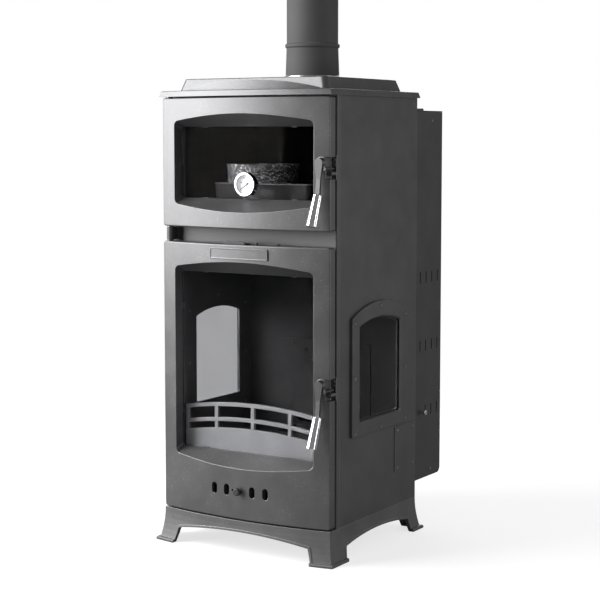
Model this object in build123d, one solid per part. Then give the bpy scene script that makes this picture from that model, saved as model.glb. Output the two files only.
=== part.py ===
"""Cast-iron pellet stove with an oven over the firebox.

Millimetres. +X is the stove's right as you face it, +Y runs from the doors to the back and +Z is up.
The sizes and functions measure depth from the front face of the body, and write_parts then moves
the whole stove so that its origin lies on the floor under the middle of its box.
"""
from build123d import *
import math
import os

# Body
body_w = 480.0              # across the side panels
body_d = 390.0              # front face of the body to the back panel
base_h = 82.0               # floor to the top of the base casting
panel_t = 4.0               # side and back panels
frame_t = 12.0              # cast front frame behind the doors
edge_r = 6.0                # rounded upright corners of the body

# Doors, from the floor up
fire_door_h = 663.0
band_h = 37.5               # bare band of the body between the two doors
oven_door_h = 311.5
door_clear = 3.0            # air over and under each door
bow = 25.0                  # how far the middle of a door stands proud of its edges
door_edge_t = 22.0          # thickness of a door at its left and right edges
door_skin = 6.0             # wall in front of the hollow at the foot of the firebox door
seal_t = 10.0               # space between the doors and the body, filled by the rope seal
seal_w = 12.0
seal_inset = 20.0           # door edge to the middle of the rope seal
seal_gap = 0.3

# Door windows
window_w = 394.0            # clear width behind the cast surround
oven_window_h = 172.0
fire_window_h = 435.5
fire_window_drop = 73.0     # top of the firebox door to the clear window
reveal_w = 4.5              # how far the surround opens out sideways towards the front
reveal_h = 22.5             # and how far it opens out up and down
crown_rise = 8.6            # rise of the arched top and bottom of the surround
reveal_r = 16.0
window_r = 8.0
window_wall = 7.0           # casting left around the surround
glass_t = 4.0
glass_lap = 6.0             # glass over the edge of the surround
glass_clear = 0.5
clip_w = 14.0
clip_t = 2.0
clip_x = 128.0              # middle of the window to the clips over and under it
clip_z = 130.0              # middle of the firebox window to the clips beside it

# Hinges and latches
hinge_pin_r = 4.0
hinge_reach = 12.0          # length of pin inside a door
hinge_seat = 8.0            # length of pin inside its seat
hinge_collar_r = 8.0
hinge_lug_r = 9.0
hinge_plate_w = 30.0        # plate at the root of the lug, on the body's face
hinge_plate_t = 4.0
hinge_set = 1.0             # pin axis forward of the middle of the door's edge
running = 0.05              # radial clearance of a turning shaft
rub = 0.3                   # clearance between sliding or turning faces
oven_handle_over = 2.25     # middle of the door to the handle's shaft
fire_handle_over = 11.5
hub_r = 12.5
hub_t = 12.5
boss_rim = 2.0              # boss on the door, round the hub
boss_rise = 0.8             # boss over the bowed face
shaft_r = 5.0
shaft_nut_r = 7.0
latch_notch_w = 12.0        # cut into the free edge of the door
latch_notch_h = 52.0
latch_notch_drop = 12.0     # middle of the notch below the handle's shaft
finger_r = 3.5
finger_reach = 19.0         # shaft to latch finger
finger_angle = 45.0         # below level, with the handle hanging
roller_r = 5.5
roller_drop = 24.5
keeper_t = 4.0
keeper_pin_r = 2.0
keeper_bolt_r = 3.4
keeper_bolt_h = 3.5
finger_clear = 1.5          # bolt heads to the end of the passing latch finger
lever_drop = 73.0
lever_w = 11.0
grip_l = 75.0
grip_top_r = 11.0
grip_foot_r = 13.5
lever_lean = 7.0            # forward lean of the lever, hub to grip
grip_lean = 19.0            # forward lean of the grip, top to foot
grip_swing = 5.0            # sideways lean of the grip towards the window

# Air controls in the firebox door
slot_pitch = 36.75
slot_w = 16.0
slot_h = 28.0
slot_rise = 69.5            # foot of the door to the middle of the air slots
damper_pad_w = 230.0
damper_pad_h = 44.0
damper_pad_rise = 7.0       # inside of the door's skin to the face that the damper slides on
damper_lap = 4.0            # damper over and under its slots
damper_t = 2.5
damper_w = 180.0
damper_stem_r = 3.0
damper_knob_r = 9.5
wash_slots = 4
wash_slot_pitch = 40.0
wash_slot_l = 18.0
wash_slot_w = 6.0
wash_slot_depth = 14.0
wash_duct_h = 6.0           # height of the way back from the slots to the glass
wash_slide_w = 190.0
wash_slide_d = 12.0
wash_slide_t = 2.5
wash_tab_left = -45.0
wash_tab_right = 18.0
wash_tab_h = 8.5
wash_stop_r = 4.0
wash_stop_h = 5.0
wash_stop_back = 14.0       # bowed face of the door to the stop pin
plate_w = 165.0             # blank name plate
plate_h = 26.0
plate_drop = 9.0            # top of the door to the name plate
plate_t = 2.0
plate_rim = 2.2

# Thermometer in the oven glass
dial_rise = 35.0            # foot of the clear window to the dial's centre
dial_r = 28.5
dial_depth = 17.0
dial_wall = 2.5
stem_r = 4.0
probe_l = 42.0

# Oven
oven_w = 408.0
oven_h = 200.0
oven_d = 323.0
oven_t = 3.0
oven_rail_w = 12.0
oven_rail_rise = 4.5
rack_rod_r = 2.5
rack_wire_r = 1.6
rack_wires = 11
rack_inset = 14.0           # rack short of the oven's front and back
tray_w = 279.0
tray_d = 250.0
tray_h = 40.0
tray_t = 1.5
tray_front = 40.0
tray_rim = 3.0
tray_slope = 0.6
tray_corner_r = 12.0
pan_r = 89.0
pan_h = 84.0
pan_t = 3.0
pan_taper = 5.0
pan_left = 51.0             # middle of the tray to the pan's axis
pan_back = 128.0

# Firebox
fire_open_w = 408.0
fire_floor_z = 232.0        # top of the firebox floor
floor_t = 6.0
fire_back_y = 344.0         # front of the firebox back wall
fire_back_t = 4.0
ledge_w = 15.0
ledge_t = 4.0
baffle_drop = 72.0          # oven floor to the top of the baffle
baffle_t = 6.0
baffle_front = 110.0
pot_w = 116.0
pot_d = 112.0
pot_front = 178.0
pot_h = 50.0
pot_wall = 5.0
pot_rise = 26.0
pot_flange = 10.0
pot_flange_t = 4.0
grate_slots = 7

# Log guard behind the firebox window
guard_w = 400.0
guard_y = 2.0
guard_t = 8.0
guard_bar = 9.0
guard_apron_top = 38.0      # height over the firebox opening's sill, at the ends
guard_mid = 64.0
guard_top = 101.0
guard_rise = 18.0
guard_post_pitch = 107.0

# Pellet path
chute_w = 120.0
chute_foot_y = 266.0
chute_foot_z = 292.0
chute_slope = 58.0
chute_h = 60.0
chute_t = 2.0
chute_top_z = 520.0
throat_w = 268.0
throat_top_z = 473.0
throat_t = 3.0
throat_rise = 40.0          # firebox floor to the foot of the plate
throat_bolt_r = 5.0
throat_bolt_h = 4.0
throat_outer_bolts = (101.0, 10.0)      # sideways from the middle, and below the plate's top
throat_inner_bolts = (62.0, 26.0)

# Ash drawer
ash_open_w = 326.0
ash_open_z = 114.0
ash_open_h = 96.0
drawer_w = 316.0
drawer_h = 90.0
drawer_front = 4.0
drawer_back = 330.0
drawer_t = 2.0
drawer_handle_w = 90.0

# Base casting
skirt_t = 8.0
deck_t = 10.0
skirt_flare = 11.0
skirt_steps = 6             # straight stretches that make up the flare's curve
toe_reach = 17.0
toe_h = 5.0
toe_slope = 2.5             # bevel along the top of the toes
foot_w = 57.0               # toe to the inner edge of a foot, across the front
arch_spring_z = 38.0
arch_crown_z = 55.0
arch_slope = 12.0
side_arch_front = 29.0
side_arch_back = 353.0
side_spring_z = 34.0
side_crown_z = 48.0
side_slope = 9.0
bead_w = 5.0
bead_t = 1.5

# Top casting
slab_reach = 6.0
slab_t = 14.0
slab_taper = 4.0
plinth_w = 428.0
plinth_front = -3.0
plinth_back = 362.0
plinth_h = 30.0
plinth_slope = 10.0
plinth_r = 14.0
top_wall = 8.0
crest_h = 24.0
crest_w = 424.0
crest_bow = 24.0

# Flue
flue_r = 65.0
flue_t = 2.0
flue_y = 277.0
flue_foot_r = 68.0
flue_lower_h = 70.0
flue_upper_h = 216.0
bead_out = 4.0
bead_h = 12.0
spigot_l = 30.0
spigot_clear = 0.3
collar_r = 71.0
collar_h = 12.0

# Side windows
side_frame_y = 194.0        # middle of the side windows
side_frame_w = 270.0
side_frame_z = 289.0
side_frame_spring = 574.0
side_frame_crown = 607.0
side_frame_t = 8.0
side_light_w = 198.0
side_light_inset = 35.0     # foot of the frame to the foot of the opening
side_light_spring = 551.0
side_light_crown = 568.0
side_glass_lap = 9.0
side_glass_bed = 0.2
screw_r = 5.0
screw_head = 2.6
screw_shank_r = 2.5

# Access cover on the right side
cover_y = 330.0
cover_w = 102.0
cover_z = 166.0
cover_h = 115.0
cover_t = 2.0
cover_lap = 11.0

# Rear case and pellet hopper
case_w = 476.0
case_d = 142.0
case_z = 122.0
case_h = 945.0
case_t = 2.0
case_r = 15.0
case_rail = 12.0
louvre_w = 5.0
louvre_l = 30.0
louvre_first = 27.0         # front of the case to the first louvre
louvre_pitch = 31.5
louvre_count = 4
louvre_rows = (176.0, 346.0, 522.0)
bin_w = 400.0
bin_d = 116.0
bin_h = 280.0
bin_t = 2.0
bin_front_gap = 14.0
lid_t = 2.0
lid_lip = 9.0
lid_lift = 5.0              # hinge axis above the rim of the case
lid_pin_r = 3.0
knuckle_r = 5.0
knuckle_l = 40.0

# Rear air slide
slide_rise = 176.0          # foot of the case to the slide's rod
slide_w = 150.0
slide_h = 28.0
slide_t = 3.0
slide_rod_y = 27.0          # back panel to the rod
slide_rod_r = 4.0
slide_knob_r = 7.0
slide_knob_l = 10.0
rear_slot_l = 26.0
rear_slot_h = 12.0
rear_slot_pitch = 44.0

# Worked out from the sizes above
half_w = body_w / 2
fire_door_z = base_h + door_clear
fire_door_top = fire_door_z + fire_door_h
oven_door_z = fire_door_top + band_h
oven_door_top = oven_door_z + oven_door_h
body_top = oven_door_top + door_clear
door_back = -seal_t
door_edge_y = door_back - door_edge_t
door_front = door_edge_y - bow
bow_r = (half_w ** 2 + bow ** 2) / (2 * bow)
bow_axis_y = door_front + bow_r
hinge_x = -half_w + seal_inset - seal_w / 2
hinge_y = (door_edge_y + door_back) / 2 - hinge_set
oven_shaft_z = oven_door_z + oven_door_h / 2 + oven_handle_over
fire_shaft_z = fire_door_z + fire_door_h / 2 + fire_handle_over
latch_x = half_w - seal_inset
notch_x = half_w - latch_notch_w
boss_r = hub_r + boss_rim
hub_back = door_front + bow_r - math.sqrt(bow_r ** 2 - (latch_x - boss_r) ** 2) - boss_rise
glass_y = door_back - glass_t
oven_window_z = oven_door_z + oven_door_h / 2
fire_window_z = fire_door_top - fire_window_drop - fire_window_h / 2
oven_floor_z = oven_window_z - oven_h / 2
rack_z = oven_floor_z + oven_rail_rise + rack_rod_r
sill_z = fire_floor_z + floor_t
slab_top = body_top + slab_t
plinth_top = slab_top + plinth_h
pipe_z = plinth_top + collar_h
bead_z = pipe_z + flue_lower_h
flue_top = bead_z + flue_upper_h
panel_in = half_w - panel_t
case_back = body_d + case_d
case_top = case_z + case_h
case_half = case_w / 2
slide_z = case_z + slide_rise
lid_axis_y = case_back + knuckle_r + rub
lid_axis_z = case_top + lid_lift


def span(x0, x1, y0, y1, z0, z1):
    """A box between two opposite corners."""
    centre = Pos((x0 + x1) / 2, (y0 + y1) / 2, (z0 + z1) / 2)
    return centre * Box(x1 - x0, y1 - y0, z1 - z0)


def facing(y):
    """Sketch plane facing the room: sketch x is X, sketch y is Z."""
    return Plane(origin=(0, y, 0), x_dir=(1, 0, 0), z_dir=(0, -1, 0))


def sideways(x):
    """Sketch plane facing the right: sketch x is Y, sketch y is Z."""
    return Plane(origin=(x, 0, 0), x_dir=(0, 1, 0), z_dir=(1, 0, 0))


def deep(face, y0, y1):
    """A sketch seen from the front, given depth from y0 back to y1."""
    return extrude(facing(y1) * face, y1 - y0)


def across(face, x0, x1):
    """A sketch seen from the right, given width from x0 to x1."""
    return extrude(sideways(x0) * face, x1 - x0)


def rod(start, end, radius, end_radius=None):
    """A round bar, or a cone, between two points."""
    run = Vector(*end) - Vector(*start)
    place = Plane(origin=start, z_dir=run)
    if end_radius is None:
        return place * Cylinder(radius, run.length, align=(Align.CENTER, Align.CENTER, Align.MIN))
    cone = Cone(radius, end_radius, run.length, align=(Align.CENTER, Align.CENTER, Align.MIN))
    return place * cone


def ring(outer, inner, z0, z1):
    """An upright tube on the flue's axis."""
    tube = Cylinder(outer, z1 - z0) - Cylinder(inner, z1 - z0 + 1)
    return Pos(0, flue_y, (z0 + z1) / 2) * tube


def mirrored(shape):
    return mirror(shape, about=Plane.YZ)


def rounded_rect(w, h, r):
    return RectangleRounded(w, h, r)


def bow_face_y(x, proud=0.0):
    """Depth of the doors' bowed face at x, or of a face standing proud of it."""
    return bow_axis_y - math.sqrt((bow_r + proud) ** 2 - x ** 2)


def bow_drum(proud, z0, z1):
    """A drum whose front is the doors' bowed face, moved forward by proud."""
    return Pos(0, bow_axis_y, (z0 + z1) / 2) * Cylinder(bow_r + proud, z1 - z0)


def plan_face(grow, back=body_d):
    """Plan of the stove with its bowed front, grown outwards on every side."""
    x = half_w + grow
    side_y = door_edge_y - grow
    outline = Polyline((-x, side_y), (-x, back + grow), (x, back + grow), (x, side_y))
    front = ThreePointArc((x, side_y), (0, door_front - grow), (-x, side_y))
    return make_face(outline + front)


def arched(w, foot, spring, crown, radius, grow=0.0):
    """Outline with a flat foot and an arched head, its corners rounded."""
    x = w / 2 + grow
    sides = Polyline((-x, spring + grow), (-x, foot - grow), (x, foot - grow), (x, spring + grow))
    head = ThreePointArc((x, spring + grow), (0, crown + grow), (-x, spring + grow))
    return fillet(make_face(sides + head).vertices(), radius)


def pillow(w, h, rise, radius):
    """Outline arched alike at the top and at the bottom."""
    x = w / 2
    z = h / 2
    right = Line((x, -z), (x, z))
    head = ThreePointArc((x, z), (0, z + rise), (-x, z))
    left = Line((-x, z), (-x, -z))
    foot = ThreePointArc((-x, -z), (0, -z - rise), (x, -z))
    return fillet(make_face(right + head + left + foot).vertices(), radius)


def slot_upright(w, h):
    return Rot(0, 0, 90) * SlotOverall(h, w)


def surround(window_h, window_z, grow=0.0):
    """Funnel that the window surround cuts through a door, grown for its wall."""
    depth = glass_y - door_front
    stretch = (depth + 5) / depth
    inner = pillow(window_w + 2 * grow, window_h + 2 * grow, 0.4, window_r)
    outer = pillow(window_w + 2 * reveal_w * stretch + 2 * grow,
                   window_h + 2 * reveal_h * stretch + 2 * grow, crown_rise * stretch, reveal_r)
    centre = Pos(0, window_z)
    faces = [facing(glass_y) * centre * inner, facing(door_front - 5) * centre * outer]
    return loft(faces, ruled=True)


def glass_bed(window_h, window_z, clear=0.0):
    """Recess in the back of a door for its glass, or with no clearance the glass itself."""
    w = window_w + 2 * (glass_lap + clear)
    h = window_h + 2 * (glass_lap + clear)
    return deep(Pos(0, window_z) * rounded_rect(w, h, window_r), glass_y, door_back)


def latch_notch(shaft_z):
    """Gap in the free edge of a door where the latch finger passes back to its keeper."""
    z = shaft_z - latch_notch_drop
    gap = Pos(half_w, z) * rounded_rect(2 * latch_notch_w, latch_notch_h, 3)
    return deep(gap, door_front - 5, door_back + 1)


def door_casting(z0, height, window_h, window_z, shaft_z):
    """Bowed cast door with its window surround, handle boss, latch notch and pin holes."""
    z1 = z0 + height
    blank = span(-half_w, half_w, door_front - 1, door_back, z0, z1) & bow_drum(0, z0 - 1, z1 + 1)
    blank = fillet(blank.edges().filter_by(Axis.Y), edge_r)
    front_edges = [e for e in blank.edges() if e.center().Y < door_back - 1 and e.length > edge_r * 2]
    blank = fillet(front_edges, 3.0)
    boss_back = door_back - shaft_nut_r - 1
    boss = rod((latch_x, boss_back - 10, shaft_z), (latch_x, hub_back, shaft_z), boss_r)
    door = blank + boss - surround(window_h, window_z) - glass_bed(window_h, window_z, glass_clear)
    door -= latch_notch(shaft_z)
    door -= rod((latch_x, door_front - 5, shaft_z), (latch_x, door_back + 1, shaft_z), shaft_r + running)
    door -= rod((latch_x, boss_back, shaft_z), (latch_x, door_back + 1, shaft_z), shaft_nut_r + 0.6)
    for foot in (z0, z1 - hinge_reach - 2):
        low = (hinge_x, hinge_y, foot - 1 if foot == z0 else foot)
        high = (hinge_x, hinge_y, foot + hinge_reach + 2 if foot == z0 else z1 + 1)
        door -= rod(low, high, hinge_pin_r + running)
    return door


def door_seal(z0, height):
    """Rope seal round the back of a door."""
    middle = Pos(0, z0 + height / 2)
    w = body_w - 2 * seal_inset
    h = height - 2 * seal_inset
    outer = rounded_rect(w + seal_w, h + seal_w, 18)
    inner = rounded_rect(w - seal_w, h - seal_w, 18 - seal_w)
    rope = deep(middle * (outer - inner), door_back, -seal_gap)
    return fillet(rope.edges().group_by(Axis.Y)[-1], 3.5)


def glass_clips(window_h, window_z, up_z):
    """Small plates screwed to the back of a door that hold its glass, some of them at heights up_z."""
    clips = []
    reach = glass_lap + 3
    z_out = window_h / 2
    x_out = window_w / 2
    places = [(x, s * z_out, 0, s) for x in (-clip_x, clip_x) for s in (-1, 1)]
    places += [(s * x_out, z, s, 0) for z in up_z for s in (-1, 1)]
    for x, z, sx, sz in places:
        middle = Pos(x + sx * (reach - 2), window_z + z + sz * (reach - 2))
        size = (clip_w, 2 * reach) if sz else (2 * reach, clip_w)
        clip = deep(middle * rounded_rect(*size, 2), door_back, door_back + clip_t)
        head_x = x + sx * (glass_lap + 3.6)
        head_z = window_z + z + sz * (glass_lap + 3.6)
        head = rod((head_x, door_back + clip_t, head_z), (head_x, door_back + clip_t + 2.2, head_z), 3.2)
        clips.append(clip + head)
    return clips


def handle_lever(shaft_z):
    """Hub, latch finger, shaft and nut of a door handle, all turning as one."""
    hub_y = hub_back - rub
    face_y = hub_y - hub_t
    end_y = door_back - 1.5
    hub = rod((latch_x, hub_y, shaft_z), (latch_x, face_y, shaft_z), hub_r, hub_r - 1.5)
    shaft = rod((latch_x, hub_y - 1, shaft_z), (latch_x, end_y, shaft_z), shaft_r)
    nut_y = door_back - shaft_nut_r - 1 + rub
    nut = rod((latch_x, nut_y, shaft_z), (latch_x, end_y, shaft_z), shaft_nut_r)
    turn = math.radians(finger_angle)
    finger_x = latch_x + finger_reach * math.cos(turn)
    finger_z = shaft_z - finger_reach * math.sin(turn)
    arm_y = (hub_y + face_y) / 2
    tip_y = -keeper_t - keeper_bolt_h - finger_clear
    tip = rod((finger_x, arm_y - 3, finger_z), (finger_x, tip_y, finger_z), finger_r)
    arm = deep(make_hull((Pos(latch_x, shaft_z) * Circle(hub_r - 3)).edges()
                         + (Pos(finger_x, finger_z) * Circle(finger_r + 1)).edges()),
               arm_y - 3, arm_y + 2)
    root = (latch_x, arm_y, shaft_z - 2)
    foot = (latch_x - 1, arm_y - lever_lean, shaft_z - lever_drop - 6)
    run = Vector(*foot) - Vector(*root)
    bar = Plane(origin=root, x_dir=(1, 0, 0), z_dir=run) * Pos(0, 0, run.length / 2)
    lever = bar * Box(lever_w, 6.5, run.length)
    hood = deep(make_hull((Pos(latch_x, shaft_z) * Circle(hub_r - 1.5)).edges()
                          + (Pos(latch_x - 0.5, shaft_z - lever_drop / 2) * Circle(lever_w / 2)).edges()),
                face_y, arm_y)
    return hub + shaft + nut + tip + arm + lever + hood


def handle_grip(shaft_z):
    """Tapered grip with rounded ends, bored to sit over the lever's end."""
    arm_y = hub_back - rub - hub_t / 2
    top = Vector(latch_x - 1, arm_y - lever_lean, shaft_z - lever_drop)
    foot = top + Vector(-grip_swing, -grip_lean, -math.sqrt(grip_l ** 2 - grip_lean ** 2))
    grip = rod(tuple(top), tuple(foot), grip_top_r, grip_foot_r)
    grip = fillet(grip.edges().filter_by(GeomType.CIRCLE), 1.8)
    return grip


def keeper(shaft_z):
    """Keeper plate, pin, roller and bolts that the latch finger closes on, on the front frame."""
    x = half_w - latch_notch_w / 2
    z = shaft_z - latch_notch_drop
    plate = deep(Pos(x, z) * rounded_rect(latch_notch_w - 1, latch_notch_h + 6, 2), -keeper_t, 0)
    z = shaft_z - roller_drop
    x = half_w - roller_r - 0.4
    pin = rod((x, -keeper_t, z), (x, door_edge_y + 6, z), keeper_pin_r)
    roller = rod((x, -keeper_t - rub, z), (x, door_edge_y + 8, z), roller_r)
    roller -= rod((x, 0, z), (x, door_edge_y, z), keeper_pin_r + running)
    bolts = []
    for rise in (latch_notch_h / 2 - 7, latch_notch_h / 2 - 18):
        spot = shaft_z - latch_notch_drop + rise
        bolts.append(rod((x, -keeper_t, spot), (x, -keeper_t - keeper_bolt_h, spot), keeper_bolt_r))
    return [plate, pin, roller] + bolts


def hinge_pin(seat_z, up):
    """Door pin with the collar that it carries the door on; up is 1 or -1."""
    foot = seat_z - up * hinge_seat
    tip = seat_z + up * (door_clear + hinge_reach)
    pin = rod((hinge_x, hinge_y, foot), (hinge_x, hinge_y, tip), hinge_pin_r)
    collar_end = seat_z + up * (door_clear - rub)
    return pin + rod((hinge_x, hinge_y, seat_z), (hinge_x, hinge_y, collar_end), hinge_collar_r)


def pin_seat(seat_z, up):
    """Blind hole for the seated end of a door pin."""
    return rod((hinge_x, hinge_y, seat_z + up), (hinge_x, hinge_y, seat_z - up * hinge_seat), hinge_pin_r)


def hinge_block():
    """Lug in the band between the doors that holds the pins of both, on its plate."""
    z0 = fire_door_top + door_clear
    z1 = oven_door_z - door_clear
    lug = rod((hinge_x, hinge_y, z0), (hinge_x, hinge_y, z1), hinge_lug_r)
    web = span(hinge_x - hinge_lug_r, hinge_x + hinge_lug_r, hinge_y, 0, z0, z1)
    plate = span(-half_w, -half_w + hinge_plate_w, -hinge_plate_t, 0, z0, z1)
    return lug + web + plate - pin_seat(z0, -1) - pin_seat(z1, 1)


def skirt(shrink, z0, z1):
    """Flared body of the base between two heights, moved inwards by shrink."""
    faces = []
    for i in range(skirt_steps + 1):
        share = i / skirt_steps
        flare = skirt_flare * (1 - share) ** 2
        faces.append(Pos(0, 0, z0 + share * (z1 - z0)) * plan_face(flare - shrink))
    return loft(faces, ruled=True)


def front_arch(grow=0.0):
    """Opening between the front feet, right through to the back."""
    foot_x = half_w + toe_reach - foot_w + grow
    spring_x = foot_x - arch_slope
    z = arch_spring_z + grow
    outline = Polyline((-spring_x, z), (-foot_x, -1), (foot_x, -1), (spring_x, z))
    head = ThreePointArc((spring_x, z), (0, arch_crown_z + grow), (-spring_x, z))
    return deep(make_face(outline + head), door_front - 60, body_d + 60)


def side_arch(grow=0.0):
    """Opening between a front and a back foot, right through from side to side."""
    y0 = side_arch_front - grow
    y1 = side_arch_back + grow
    z = side_spring_z + grow
    outline = Polyline((y0 + side_slope, z), (y0, -1), (y1, -1), (y1 - side_slope, z))
    middle = ((y0 + y1) / 2, side_crown_z + grow)
    head = ThreePointArc((y1 - side_slope, z), middle, (y0 + side_slope, z))
    return across(make_face(outline + head), -half_w - 60, half_w + 60)


def base_casting():
    """Hollow skirt on four flared feet, with a closed deck that carries the body."""
    outer = skirt(0, 0, base_h)
    toe_top = toe_h + toe_slope
    faces = [Pos(0, 0, toe_h) * plan_face(toe_reach), Pos(0, 0, toe_top) * plan_face(toe_reach - toe_slope)]
    toes = extrude(plan_face(toe_reach), toe_h) + loft(faces, ruled=True)
    hollow = skirt(skirt_t, -1, base_h - deck_t)
    arches = front_arch() + side_arch()
    beads = (skirt(-bead_t, 0, base_h) & (front_arch(bead_w) + side_arch(bead_w)))
    shell = outer + toes + beads - hollow - arches
    return shell - pin_seat(base_h, 1)


def front_frame():
    """Cast frame that both doors close on."""
    frame = span(-half_w, half_w, 0, frame_t, base_h, body_top)
    frame = fillet(frame.edges().filter_by(Axis.Z).group_by(Axis.Y)[0], edge_r - 1)
    oven = Pos(0, oven_window_z) * rounded_rect(oven_w, oven_h, 4)
    fire_top = fire_door_top - 2 * seal_inset + 14
    fire = span(-fire_open_w / 2, fire_open_w / 2, -1, frame_t + 1, sill_z, fire_top)
    ash = span(-ash_open_w / 2, ash_open_w / 2, -1, frame_t + 1, ash_open_z, ash_open_z + ash_open_h)
    return frame - deep(oven, -1, frame_t + 1) - fire - ash


def side_outline(w, foot, spring, crown, grow=0.0, radius=5.0):
    return Pos(side_frame_y, 0) * arched(w, foot, spring, crown, radius, grow)


def side_light(grow=0.0):
    """Outline of the opening in a side window frame."""
    foot = side_frame_z + side_light_inset
    return side_outline(side_light_w, foot, side_light_spring, side_light_crown, grow)


def side_screw_spots():
    """Places of the screws round a side window frame, as depth and height."""
    reach = side_frame_w / 2 - 10
    low = side_frame_z + 9
    high = side_frame_spring - 10
    spots = [(side_frame_y + s * reach, z) for s in (-1, 1) for z in (low, (low + high) / 2, high)]
    return spots + [(side_frame_y, low), (side_frame_y, side_frame_crown - 12)]


def cover_screw_spots():
    """Places of the screws in the access cover, as depth and height."""
    y = cover_w / 2 - 12
    return [(cover_y + s * y, z) for s in (-1, 1) for z in (cover_z + 10, cover_z + cover_h - 10)]


def side_panel(screw_spots):
    """Right-hand side panel with its window opening and its welded ledges."""
    panel = span(panel_in, half_w, frame_t, body_d, base_h, body_top)
    panel -= across(side_light(-side_glass_lap / 3), panel_in - 1, half_w + 1)
    for y, z in screw_spots:
        panel -= rod((panel_in - 1, y, z), (half_w + 1, y, z), screw_shank_r + running)
    for z in (fire_floor_z - floor_t, baffle_z() - baffle_t):
        panel += span(panel_in - ledge_w, panel_in, frame_t + 10, fire_back_y - 6, z - ledge_t, z)
    return panel


def baffle_z():
    """Top of the baffle under the oven."""
    return oven_floor_z - baffle_drop


def side_window_frame():
    """Right-hand window frame with a bed for the glass in its back."""
    x0 = half_w
    x1 = half_w + side_frame_t
    plate = across(side_outline(side_frame_w, side_frame_z, side_frame_spring, side_frame_crown,
                                radius=4.0), x0, x1)
    plate = chamfer(plate.edges().group_by(Axis.X)[-1], 1.2)
    opening = across(side_light(), x0 - 1, x1 + 1)
    splay = loft([sideways(x1 - 4) * side_light(), sideways(x1 + 0.5) * side_light(4.5)], ruled=True)
    bed = across(side_light(side_glass_lap + glass_clear), x0 - 1, x0 + glass_t + 2 * side_glass_bed)
    plate -= opening + splay + bed
    for y, z in side_screw_spots():
        plate -= rod((x0 - 1, y, z), (x1 + 1, y, z), screw_shank_r + running)
    return plate


def side_glass():
    x0 = half_w + side_glass_bed
    return across(side_light(side_glass_lap), x0, x0 + glass_t)


def screw(x, y, z, side):
    """Round-headed screw put in from the side; x is the face it sits on."""
    head = rod((x, y, z), (x + side * screw_head, y, z), screw_r, screw_r * 0.72)
    shank_end = side * (panel_in - 1)
    return head + rod((x + side, y, z), (shank_end, y, z), screw_shank_r)


def panel_screws():
    """Every screw on the outside of the body and of the rear case."""
    screws = []
    for side in (-1, 1):
        for y, z in side_screw_spots():
            screws.append(screw(side * (half_w + side_frame_t), y, z, side))
        for z in (case_z + 18, case_top - 22):
            start = side * case_half
            screws.append(rod((start, case_back - 56, z), (start + side * screw_head, case_back - 56, z),
                              screw_r, screw_r * 0.72))
    for y, z in cover_screw_spots():
        screws.append(screw(half_w + cover_t, y, z, 1))
    return screws


def access_cover():
    """Cover plate over the cleaning hole low in the right side."""
    outline = Pos(cover_y, cover_z + cover_h / 2) * rounded_rect(cover_w, cover_h, 3)
    plate = across(outline, half_w, half_w + cover_t)
    for y, z in cover_screw_spots():
        plate -= rod((half_w - 1, y, z), (half_w + 9, y, z), screw_shank_r + running)
    return plate


def cleaning_hole():
    outline = Pos(cover_y, cover_z + cover_h / 2)
    inset = 2 * cover_lap + 10
    return across(outline * rounded_rect(cover_w - inset, cover_h - inset, 3), panel_in - 1, half_w + 1)


def chute_outline(inset=0.0, reach=0.0):
    """Side view of the sloping chute; inset thins it and reach lengthens it past both ends."""
    slope = math.radians(chute_slope)
    run = (math.cos(slope), math.sin(slope))
    under = (math.sin(slope), -math.cos(slope))
    front = (chute_foot_y + inset * under[0] - reach * run[0], chute_foot_z + inset * under[1] - reach * run[1])
    deep_h = chute_h - 2 * inset
    back = (front[0] + deep_h * under[0], front[1] + deep_h * under[1])
    top = chute_top_z + reach
    front_top = (front[0] + (top - front[1]) * run[0] / run[1], top)
    back_top = (back[0] + (top - back[1]) * run[0] / run[1], top)
    return make_face(Polyline(front, back, back_top, front_top, close=True))


def chute_body(grow=0.0):
    """Outside of the chute, grown for the holes that it passes through."""
    return across(chute_outline(-grow), -chute_w / 2 - grow, chute_w / 2 + grow)


def chute_mouth_y():
    """Front and back of the chute at its level top edge."""
    slope = math.radians(chute_slope)
    front = chute_foot_y + (chute_top_z - chute_foot_z) / math.tan(slope)
    return front, front + chute_h / math.sin(slope)


def pellet_chute():
    inner = across(chute_outline(chute_t, 30), -chute_w / 2 + chute_t, chute_w / 2 - chute_t)
    return chute_body() - inner


def back_panel():
    """Back of the body, with the chute's hole and the rear air slots."""
    panel = span(-panel_in, panel_in, body_d - panel_t, body_d, base_h, body_top)
    panel -= chute_body(1)
    for step in (-1, 0, 1):
        slot = Pos(step * rear_slot_pitch, slide_z) * SlotOverall(rear_slot_l, rear_slot_h)
        panel -= deep(slot, body_d - panel_t - 1, body_d + 1)
    return panel


def rear_air_slide():
    """Slotted plate on the back panel with the rod and knob that pull it open."""
    y0 = body_d + rub
    y1 = y0 + slide_t
    plate = span(-slide_w / 2, slide_w / 2, y0, y1, slide_z - slide_h / 2, slide_z + slide_h / 2)
    for step in (-1, 0, 1):
        x = (step - 0.5) * rear_slot_pitch
        plate -= deep(Pos(x, slide_z) * SlotOverall(rear_slot_l, rear_slot_h), y0 - 1, y1 + 1)
    rod_y = body_d + slide_rod_y
    tab_x = slide_w / 2
    tab = span(tab_x - 6, tab_x, y0, rod_y + slide_rod_r + 2, slide_z - 6, slide_z + 6)
    knob_x = half_w + toe_reach - slide_knob_l
    bar = rod((tab_x - 3, rod_y, slide_z), (knob_x + 2, rod_y, slide_z), slide_rod_r)
    knob = rod((knob_x, rod_y, slide_z), (knob_x + slide_knob_l, rod_y, slide_z), slide_knob_r)
    knob = fillet(knob.edges().filter_by(GeomType.CIRCLE), 1.5)
    return plate + tab + bar + knob


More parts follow.
